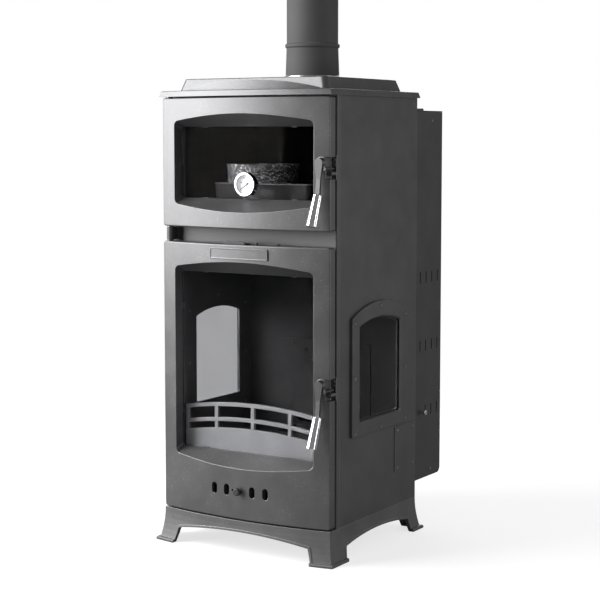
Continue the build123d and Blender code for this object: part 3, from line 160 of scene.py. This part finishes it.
def noise_node(tree, coords, scale, detail=2.0, roughness=0.5):
    """Noise on the given coordinates, with its scale from a socket."""
    node = tree.nodes.new("ShaderNodeTexNoise")
    tree.links.new(coords, node.inputs["Vector"])
    tree.links.new(scale, node.inputs["Scale"])
    node.inputs["Detail"].default_value = detail
    node.inputs["Roughness"].default_value = roughness
    return node.outputs["Fac"]


def spread(tree, value, low, high, to_low=0.0, to_high=1.0):
    """Stretch the range low to high over a new range, clamped."""
    node = tree.nodes.new("ShaderNodeMapRange")
    tree.links.new(value, node.inputs["Value"])
    node.inputs["From Min"].default_value = low
    node.inputs["From Max"].default_value = high
    node.inputs["To Min"].default_value = to_low
    node.inputs["To Max"].default_value = to_high
    return node.outputs["Result"]


def weigh(tree, first, second, share):
    """Two values added up, the first by its share and the second by the rest."""
    kept = math_node(tree, "MULTIPLY", first, share)
    rest = math_node(tree, "MULTIPLY", second, 1.0 - share)
    return math_node(tree, "ADD", kept, rest)


def surface_grain():
    """Sand-cast or sprayed grain: a height, a blotchy tone and a dusty mask, all from 0 to 1."""
    tree, given, out = node_group(
        "surface_grain",
        [("Grain scale", "NodeSocketFloat", 900.0), ("Blotch scale", "NodeSocketFloat", 14.0)],
        [("Height", "NodeSocketFloat"), ("Tone", "NodeSocketFloat"), ("Dust", "NodeSocketFloat")])
    coords = tree.nodes.new("ShaderNodeTexCoord").outputs["Object"]
    coarse_scale = math_node(tree, "MULTIPLY", given.outputs["Grain scale"], coarse_grain)
    fine = noise_node(tree, coords, given.outputs["Grain scale"], 3.0, 0.6)
    coarse = noise_node(tree, coords, coarse_scale, 2.0)
    height = weigh(tree, fine, coarse, fine_share)
    blotch = noise_node(tree, coords, given.outputs["Blotch scale"], 4.0, 0.6)
    cloud_size = math_node(tree, "MULTIPLY", given.outputs["Blotch scale"], cloud_scale)
    cloud = noise_node(tree, coords, cloud_size, 2.0)
    tone = weigh(tree, blotch, cloud, 0.5)
    speck = spread(tree, noise_node(tree, coords, given.outputs["Grain scale"], 1.0), *speck_range)
    tree.links.new(height, out.inputs["Height"])
    tree.links.new(spread(tree, tone, *tone_range), out.inputs["Tone"])
    tree.links.new(math_node(tree, "MULTIPLY", speck, spread(tree, blotch, *dust_range)), out.inputs["Dust"])
    return tree


def soft_edges():
    """Rounded-edge normal and a mask that is 1 along sharp edges."""
    tree, given, out = node_group(
        "soft_edges", [("Radius", "NodeSocketFloat", 0.001)],
        [("Normal", "NodeSocketVector"), ("Edge", "NodeSocketFloat")])
    bevel = tree.nodes.new("ShaderNodeBevel")
    bevel.samples = bevel_samples
    tree.links.new(given.outputs["Radius"], bevel.inputs["Radius"])
    geometry = tree.nodes.new("ShaderNodeNewGeometry")
    dot = tree.nodes.new("ShaderNodeVectorMath")
    dot.operation = "DOT_PRODUCT"
    tree.links.new(bevel.outputs["Normal"], dot.inputs[0])
    tree.links.new(geometry.outputs["Normal"], dot.inputs[1])
    tree.links.new(bevel.outputs["Normal"], out.inputs["Normal"])
    tree.links.new(spread(tree, dot.outputs["Value"], *edge_range), out.inputs["Edge"])
    return tree


def brush_lines():
    """Fine lines across one axis, as left by turning or drawing a bar."""
    tree, given, out = node_group(
        "brush_lines",
        [("Stretch", "NodeSocketVector", (1.0, 1.0, 60.0)), ("Scale", "NodeSocketFloat", 40.0)],
        [("Lines", "NodeSocketFloat")])
    coords = tree.nodes.new("ShaderNodeTexCoord").outputs["Object"]
    stretched = tree.nodes.new("ShaderNodeVectorMath")
    stretched.operation = "MULTIPLY"
    tree.links.new(coords, stretched.inputs[0])
    tree.links.new(given.outputs["Stretch"], stretched.inputs[1])
    lines = noise_node(tree, stretched.outputs["Vector"], given.outputs["Scale"], 4.0, 0.6)
    tree.links.new(lines, out.inputs["Lines"])
    return tree


groups = {maker.__name__: maker() for maker in (surface_grain, soft_edges, brush_lines)}


def place_group(tree, name, **values):
    """Put a shared node group into a material, with its own values."""
    node = tree.nodes.new("ShaderNodeGroup")
    node.node_tree = groups[name]
    for label, value in values.items():
        node.inputs[label.replace("_", " ")].default_value = value
    return node


def new_material(name, rough=0.5, metal=0.0, specular=0.5):
    """A Principled material; returns the material, its tree and its shader."""
    material = bpy.data.materials.new(name)
    material.use_nodes = True
    tree = material.node_tree
    shader = tree.nodes["Principled BSDF"]
    shader.inputs["Roughness"].default_value = rough
    shader.inputs["Metallic"].default_value = metal
    shader.inputs["Specular IOR Level"].default_value = specular
    return material, tree, shader


def blend_colours(tree, mask, first, second):
    """Mix two colours, each a tuple or a socket, by a mask."""
    node = tree.nodes.new("ShaderNodeMix")
    node.data_type = "RGBA"
    tree.links.new(mask, node.inputs["Factor"])
    for socket, colour in ((node.inputs[6], first), (node.inputs[7], second)):
        if isinstance(colour, bpy.types.NodeSocket):
            tree.links.new(colour, socket)
        else:
            socket.default_value = (*colour, 1.0)
    return node.outputs[2]


def raise_bump(tree, shader, height, distance, normal=None):
    """Feed a height into the shader's normal, over a rounded-edge normal if given."""
    bump = tree.nodes.new("ShaderNodeBump")
    bump.inputs["Distance"].default_value = distance
    tree.links.new(height, bump.inputs["Height"])
    if normal is not None:
        tree.links.new(normal, bump.inputs["Normal"])
    tree.links.new(bump.outputs["Normal"], shader.inputs["Normal"])


def grey(value):
    return (value, value, value * 1.02)


def stove_finish(name, dark, light, edge, rough, metal, grain, bump, specular=0.5):
    """Painted or bare metal with cast grain, blotches, dust, and edges lightened partly by rubbing and partly
    as a painted highlight.
    """
    material, tree, shader = new_material(name, rough[0], metal, specular)
    surface = place_group(tree, "surface_grain", Grain_scale=grain)
    edges = place_group(tree, "soft_edges", Radius=cast_edge)
    base = blend_colours(tree, surface.outputs["Tone"], grey(dark), grey(light))
    # Edges are lightened: partly rubbed paint, partly a painted highlight along rounded edges
    edge_rub_and_highlight = math_node(tree, "MULTIPLY", edges.outputs["Edge"], edge_rub_and_highlight_share)
    dust = math_node(tree, "MULTIPLY", surface.outputs["Dust"], dust_share)
    rubbed_and_highlit = blend_colours(tree, edge_rub_and_highlight, base, grey(edge))
    dusty = blend_colours(tree, dust, rubbed_and_highlit, grey(edge * dust_tone))
    tree.links.new(dusty, shader.inputs["Base Color"])
    tree.links.new(spread(tree, surface.outputs["Tone"], 0.0, 1.0, *rough), shader.inputs["Roughness"])
    raise_bump(tree, shader, surface.outputs["Height"], bump, edges.outputs["Normal"])
    return material


def chrome_finish():
    material, tree, shader = new_material("chrome", 0.06, 1.0)
    surface = place_group(tree, "surface_grain", Grain_scale=260.0, Blotch_scale=60.0)
    base = blend_colours(tree, surface.outputs["Tone"], grey(0.80), grey(0.90))
    tree.links.new(base, shader.inputs["Base Color"])
    tree.links.new(spread(tree, surface.outputs["Tone"], 0.0, 1.0, 0.04, 0.10), shader.inputs["Roughness"])
    return material


def steel_finish(name, tone, rough, stretch):
    """Drawn, turned or rolled bare steel, with edges lightened partly by rubbing and partly as a painted
    highlight.
    """
    material, tree, shader = new_material(name, rough, 1.0)
    lines = place_group(tree, "brush_lines", Stretch=stretch)
    edges = place_group(tree, "soft_edges", Radius=steel_edge)
    low, high, bright = (tone * share for share in steel_tones)
    base = blend_colours(tree, lines.outputs["Lines"], grey(low), grey(high))
    # Edges turn bright: rubbed steel and a painted highlight
    rubbed_and_highlit = blend_colours(tree, edges.outputs["Edge"], base, grey(bright))
    tree.links.new(rubbed_and_highlit, shader.inputs["Base Color"])
    smooth, dull = (rough * share for share in steel_rough)
    tree.links.new(spread(tree, lines.outputs["Lines"], 0.3, 0.7, smooth, dull), shader.inputs["Roughness"])
    raise_bump(tree, shader, lines.outputs["Lines"], line_depth, edges.outputs["Normal"])
    return material


def clear_glass(name, tint):
    """Clear glass ceramic that lets lamp light through."""
    material, tree, shader = new_material(name, 0.02)
    shader.inputs["Transmission Weight"].default_value = 1.0
    shader.inputs["IOR"].default_value = glass_bend
    haze = place_group(tree, "surface_grain", Grain_scale=120.0, Blotch_scale=9.0)
    tree.links.new(blend_colours(tree, haze.outputs["Tone"], grey(tint), grey(tint * glass_haze)),
                   shader.inputs["Base Color"])
    tree.links.new(spread(tree, haze.outputs["Tone"], 0.0, 1.0, 0.0, 0.03), shader.inputs["Roughness"])
    path = tree.nodes.new("ShaderNodeLightPath")
    clear = tree.nodes.new("ShaderNodeBsdfTransparent")
    clear.inputs["Color"].default_value = (tint, tint, tint, 1.0)
    mix = tree.nodes.new("ShaderNodeMixShader")
    tree.links.new(path.outputs["Is Shadow Ray"], mix.inputs["Fac"])
    tree.links.new(shader.outputs["BSDF"], mix.inputs[1])
    tree.links.new(clear.outputs["BSDF"], mix.inputs[2])
    tree.links.new(mix.outputs["Shader"], tree.nodes["Material Output"].inputs["Surface"])
    return material


def speckled_coating():
    """Black non-stick coating with pale speckles of two sizes."""
    material, tree, shader = new_material("speckled_coating", 0.5, 0.0, 0.4)
    coords = tree.nodes.new("ShaderNodeTexCoord").outputs["Object"]
    colour = grey(0.012)
    for scale, reach, tone in speckle_sets:
        spots = tree.nodes.new("ShaderNodeTexVoronoi")
        spots.inputs["Scale"].default_value = scale
        tree.links.new(coords, spots.inputs["Vector"])
        mask = spread(tree, spots.outputs["Distance"], reach, reach * speckle_core)
        colour = blend_colours(tree, mask, colour, grey(tone))
    tree.links.new(colour, shader.inputs["Base Color"])
    surface = place_group(tree, "surface_grain", Grain_scale=500.0)
    tree.links.new(spread(tree, surface.outputs["Tone"], 0.0, 1.0, 0.42, 0.6), shader.inputs["Roughness"])
    raise_bump(tree, shader, surface.outputs["Height"], 0.00005)
    return material


def rope_braid():
    """Braided glass-fibre rope, from two crossing sets of waves; the grooves between strands are darker, a
    painted shade.
    """
    material, tree, shader = new_material("rope_braid", 0.9, 0.0, 0.1)
    coords = tree.nodes.new("ShaderNodeTexCoord").outputs["Object"]
    strands = []
    for lean in (1.0, -1.0):
        turned = tree.nodes.new("ShaderNodeMapping")
        turned.inputs["Rotation"].default_value = (0.0, braid_lean * lean, 0.0)
        tree.links.new(coords, turned.inputs["Vector"])
        wave = tree.nodes.new("ShaderNodeTexWave")
        wave.inputs["Scale"].default_value = braid_scale
        wave.inputs["Distortion"].default_value = 0.6
        tree.links.new(turned.outputs["Vector"], wave.inputs["Vector"])
        strands.append(wave.outputs["Fac"])
    height = math_node(tree, "MAXIMUM", strands[0], strands[1])
    # Low parts of the braid are darker: painted shade in the grooves
    base = blend_colours(tree, height, (0.20, 0.19, 0.17), (0.55, 0.53, 0.48))
    tree.links.new(base, shader.inputs["Base Color"])
    fuzz = place_group(tree, "surface_grain", Grain_scale=1500.0)
    tree.links.new(spread(tree, fuzz.outputs["Tone"], 0.0, 1.0, 0.8, 0.95), shader.inputs["Roughness"])
    raise_bump(tree, shader, height, braid_depth)
    return material


def dial_face():
    material, tree, shader = new_material("dial_face", 0.45, 0.0, 0.4)
    surface = place_group(tree, "surface_grain", Grain_scale=700.0, Blotch_scale=90.0)
    tree.links.new(blend_colours(tree, surface.outputs["Tone"], (0.80, 0.80, 0.79), (0.87, 0.87, 0.86)),
                   shader.inputs["Base Color"])
    raise_bump(tree, shader, surface.outputs["Height"], 0.00001)
    return material


def printed_ink():
    material, tree, shader = new_material("printed_ink", 0.5, 0.0, 0.4)
    surface = place_group(tree, "surface_grain", Grain_scale=1200.0, Blotch_scale=200.0)
    base = blend_colours(tree, surface.outputs["Tone"], grey(0.02), grey(0.06))
    tree.links.new(base, shader.inputs["Base Color"])
    return material


# Third number is the edge tone: edges lightened partly by rubbing and partly as a painted highlight
door_paint = stove_finish("door_paint", 0.10, 0.128, 0.40, (0.36, 0.44), 0.68, grain=420.0, bump=0.00022)
body_paint = stove_finish("body_paint", 0.075, 0.095, 0.30, (0.46, 0.54), 0.5, grain=900.0, bump=0.00006)
case_paint = stove_finish("case_paint", 0.05, 0.065, 0.14, (0.5, 0.58), 0.4, grain=1300.0, bump=0.00004)
base_paint = stove_finish("base_paint", 0.10, 0.13, 0.40, (0.44, 0.54), 0.5, grain=500.0, bump=0.00014)
pipe_enamel = stove_finish("pipe_enamel", 0.062, 0.078, 0.1, (0.66, 0.74), 0.0, grain=1400.0, bump=0.00003,
                           specular=0.2)
fire_plate = stove_finish("fire_plate", 0.022, 0.045, 0.09, (0.65, 0.8), 0.1, grain=500.0, bump=0.0001,
                          specular=0.3)
guard_iron = stove_finish("guard_iron", 0.13, 0.18, 0.45, (0.6, 0.75), 0.1, grain=600.0, bump=0.00015)
oven_enamel = stove_finish("oven_enamel", 0.003, 0.005, 0.012, (0.65, 0.75), 0.0, grain=1500.0, bump=0.00002,
                           specular=0.08)
# The tray's pale edge tone over near-black enamel is a painted highlight along its edges
tray_enamel = stove_finish("tray_enamel", 0.004, 0.006, 0.6, (0.45, 0.55), 0.0, grain=1500.0, bump=0.00002,
                           specular=0.12)
knob_iron = stove_finish("knob_iron", 0.02, 0.05, 0.12, (0.4, 0.6), 0.3, grain=350.0, bump=0.0004)
keeper_steel = steel_finish("keeper_steel", 0.22, 0.35, (1.0, 1.0, 30.0))
handle_steel = steel_finish("handle_steel", 0.10, 0.46, (60.0, 1.0, 1.0))
screw_steel = steel_finish("screw_steel", 0.25, 0.3, (1.0, 40.0, 1.0))
bright_steel = steel_finish("bright_steel", 0.6, 0.3, (40.0, 1.0, 1.0))
chrome = chrome_finish()
window_glass = clear_glass("window_glass", 0.84)
side_tint = clear_glass("side_window_glass", 0.48)
lens_glass = clear_glass("lens_glass", 0.99)
speckles = speckled_coating()
rope = rope_braid()
dial_white = dial_face()
ink = printed_ink()

finishes = {
    door_paint: ("oven_door", "firebox_door", "nameplate", "top_casting"),
    body_paint: ("front_frame", "hinge_block", "side_panel_right", "side_panel_left",
                 "side_window_frame_right", "side_window_frame_left", "access_cover"),
    case_paint: ("back_panel", "hopper_case", "hopper_lid"),
    base_paint: ("base_casting",),
    pipe_enamel: ("flue_pipe_lower", "flue_pipe_upper"),
    fire_plate: ("firebox_back_wall", "firebox_floor", "burner_pot", "baffle_plate", "throat_plate",
                 "pellet_chute", "hopper_bin", "ash_drawer", "drawer_rails", "slide_guides", "damper_guides",
                 "throat_bolts"),
    guard_iron: ("log_guard",),
    oven_enamel: ("oven_box",),
    tray_enamel: ("oven_tray",),
    knob_iron: ("damper_knob", "air_damper", "wash_stop", "air_wash_slide"),
    keeper_steel: ("latch_keepers", "hinge_pins"),
    handle_steel: ("oven_handle_lever", "firebox_handle_lever"),
    screw_steel: ("panel_screws", "oven_glass_clips", "firebox_glass_clips"),
    bright_steel: ("oven_rack", "flue_collar", "thermometer_nut", "rear_air_slide"),
    chrome: ("oven_handle_grip", "firebox_handle_grip", "thermometer_case"),
    window_glass: ("oven_door_glass", "firebox_door_glass"),
    side_tint: ("side_glass",),
    lens_glass: ("thermometer_lens",),
    rope: ("oven_door_seal", "firebox_door_seal"),
    dial_white: ("thermometer_dial",),
    ink: ("thermometer_needle",),
    speckles: ("round_pan",),
}


def dress_frame():
    """Give every CAD node its finish."""
    for material, names in finishes.items():
        for name in names:
            node = nodes[name]
            if not node.material_slots:
                node.data.materials.append(material)
            for material_slot in node.material_slots:
                material_slot.material = material


def piece_from(mesh, name, material, body):
    """Make an object of a finished bmesh, with its finish, body and slot."""
    bmesh.ops.recalc_face_normals(mesh, faces=mesh.faces)
    data = bpy.data.meshes.new(name)
    mesh.to_mesh(data)
    mesh.free()
    data.materials.append(material)
    piece = bpy.data.objects.new(name, data)
    bpy.context.scene.collection.objects.link(piece)
    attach(piece, body)
    return piece


def add_dial_scale():
    """Plain marks and figures round the thermometer's dial, from 0 at its lower left to 500."""
    low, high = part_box("thermometer_dial")
    face_y = high.y - dial_plate - 0.5 * print_height
    centre = Vector((0.0, face_y, (low.z + high.z) / 2))
    mesh = bmesh.new()
    for step in range(scale_steps + 1):
        turn = scale_start - scale_sweep * step / scale_steps
        long_mark = step % scale_figure_every == 0
        inner = mark_outer_r - (mark_long if long_mark else mark_short)
        size = (mark_outer_r - inner, print_height, mark_width if long_mark else mark_width * thin_mark)
        place = (Matrix.Translation(centre) @ Matrix.Rotation(-turn, 4, "Y")
                 @ Matrix.Translation(((mark_outer_r + inner) / 2, 0.0, 0.0)) @ Matrix.Diagonal((*size, 1.0)))
        bmesh.ops.create_cube(mesh, size=1.0, matrix=place)
    piece_from(mesh, "dial_marks", ink, "oven_door_body")
    for step in range(0, scale_steps + 1, scale_figure_every):
        turn = scale_start - scale_sweep * step / scale_steps
        spot = centre + figure_r * Vector((math.cos(turn), 0.0, math.sin(turn)))
        add_figure(str(scale_top * step // scale_steps), spot)


def add_figure(figure, spot):
    """A plain number printed on the dial, centred on a point."""
    curve = bpy.data.curves.new("figure", "FONT")
    curve.body = figure
    curve.size = figure_size
    curve.align_x = "CENTER"
    curve.align_y = "CENTER"
    curve.extrude = print_height / 2
    flat = bpy.data.objects.new("figure", curve)
    data = bpy.data.meshes.new_from_object(flat)
    bpy.data.objects.remove(flat)
    data.transform(Matrix.Translation(spot) @ Matrix.Rotation(math.radians(90), 4, "X"))
    mesh = bmesh.new()
    mesh.from_mesh(data)
    bmesh.ops.remove_doubles(mesh, verts=mesh.verts, dist=weld)
    piece_from(mesh, "dial_figure_" + figure, ink, "oven_door_body")


def to_direction(azimuth, distance, height):
    """A point round the stove; azimuth 0 is in front and 90 degrees is on the right."""
    return Vector((distance * math.sin(azimuth), front_y - distance * math.cos(azimuth), height))


def add_area_light(name, azimuth, distance, height, size, watts):
    data = bpy.data.lights.new(name, "AREA")
    data.shape = "RECTANGLE"
    data.size, data.size_y = size
    data.energy = watts
    lamp = bpy.data.objects.new(name, data)
    lamp.location = to_direction(azimuth, distance, height)
    aim = Vector((0, front_y, body_mid_z)) - lamp.location
    lamp.rotation_euler = aim.to_track_quat("-Z", "Y").to_euler()
    bpy.context.scene.collection.objects.link(lamp)


def light_room():
    """Even room light; the camera and the glass see a white background, and metal a dim one."""
    world = bpy.data.worlds.new("room")
    bpy.context.scene.world = world
    world.use_nodes = True
    tree = world.node_tree
    shader = tree.nodes["Background"]
    path = tree.nodes.new("ShaderNodeLightPath")
    seen = math_node(tree, "MAXIMUM", path.outputs["Is Camera Ray"], path.outputs["Is Transmission Ray"])
    gloss = math_node(tree, "MULTIPLY", path.outputs["Is Glossy Ray"], room_gloss - room_light)
    dim = math_node(tree, "ADD", gloss, room_light)
    bright = math_node(tree, "MULTIPLY", seen, 1.0 - room_light)
    strength = math_node(tree, "MINIMUM", math_node(tree, "ADD", dim, bright), 1.0)
    shader.inputs["Color"].default_value = (1.0, 1.0, 1.0, 1.0)
    tree.links.new(strength, shader.inputs["Strength"])


def add_floor():
    """Pale floor that keeps the stove's shadow and fades into the background."""
    mesh = bmesh.new()
    bmesh.ops.create_circle(mesh, cap_ends=True, segments=floor_sides, radius=floor_radius)
    data = bpy.data.meshes.new("floor")
    mesh.to_mesh(data)
    mesh.free()
    material, tree, shader = new_material("floor", 0.9, 0.0, 0.0)
    shader.inputs["Base Color"].default_value = (floor_tone, floor_tone, floor_tone, 1.0)
    path = tree.nodes.new("ShaderNodeLightPath")
    glow = tree.nodes.new("ShaderNodeEmission")
    seen = math_node(tree, "MULTIPLY", path.outputs["Is Camera Ray"], floor_glow)
    tree.links.new(seen, glow.inputs["Strength"])
    lit = tree.nodes.new("ShaderNodeAddShader")
    tree.links.new(shader.outputs["BSDF"], lit.inputs[0])
    tree.links.new(glow.outputs["Emission"], lit.inputs[1])
    coords = tree.nodes.new("ShaderNodeTexCoord").outputs["Object"]
    length = tree.nodes.new("ShaderNodeVectorMath")
    length.operation = "LENGTH"
    tree.links.new(coords, length.inputs[0])
    clear = tree.nodes.new("ShaderNodeBsdfTransparent")
    fade = tree.nodes.new("ShaderNodeMixShader")
    tree.links.new(spread(tree, length.outputs["Value"], *floor_fade), fade.inputs["Fac"])
    tree.links.new(lit.outputs["Shader"], fade.inputs[1])
    tree.links.new(clear.outputs["BSDF"], fade.inputs[2])
    tree.links.new(fade.outputs["Shader"], tree.nodes["Material Output"].inputs["Surface"])
    data.materials.append(material)
    floor = bpy.data.objects.new("floor", data)
    bpy.context.scene.collection.objects.link(floor)


def add_camera():
    data = bpy.data.cameras.new("camera")
    data.sensor_width = camera_film
    data.lens = camera_lens
    data.shift_y = camera_shift
    camera = bpy.data.objects.new("camera", data)
    camera.location = Vector((camera_right, front_y - camera_forward, camera_up))
    level = math.cos(camera_tilt)
    across = -math.sin(camera_azimuth) * level
    ahead = math.cos(camera_azimuth) * level
    aim = Vector((across, ahead, -math.sin(camera_tilt)))
    camera.rotation_euler = aim.to_track_quat("-Z", "Y").to_euler()
    bpy.context.scene.collection.objects.link(camera)
    bpy.context.scene.camera = camera


dress_frame()
add_dial_scale()
add_area_light("key", key_azimuth, key_distance, key_height, key_size, key_watts)
add_area_light("strip", strip_azimuth, strip_distance, strip_height, strip_size, strip_watts)
add_area_light("rim", rim_azimuth, rim_distance, rim_height, rim_size, rim_watts)
add_area_light("back", back_azimuth, back_distance, back_height, back_size, back_watts)
light_room()
add_floor()
add_camera()
bpy.context.scene.view_settings.view_transform = "Standard"
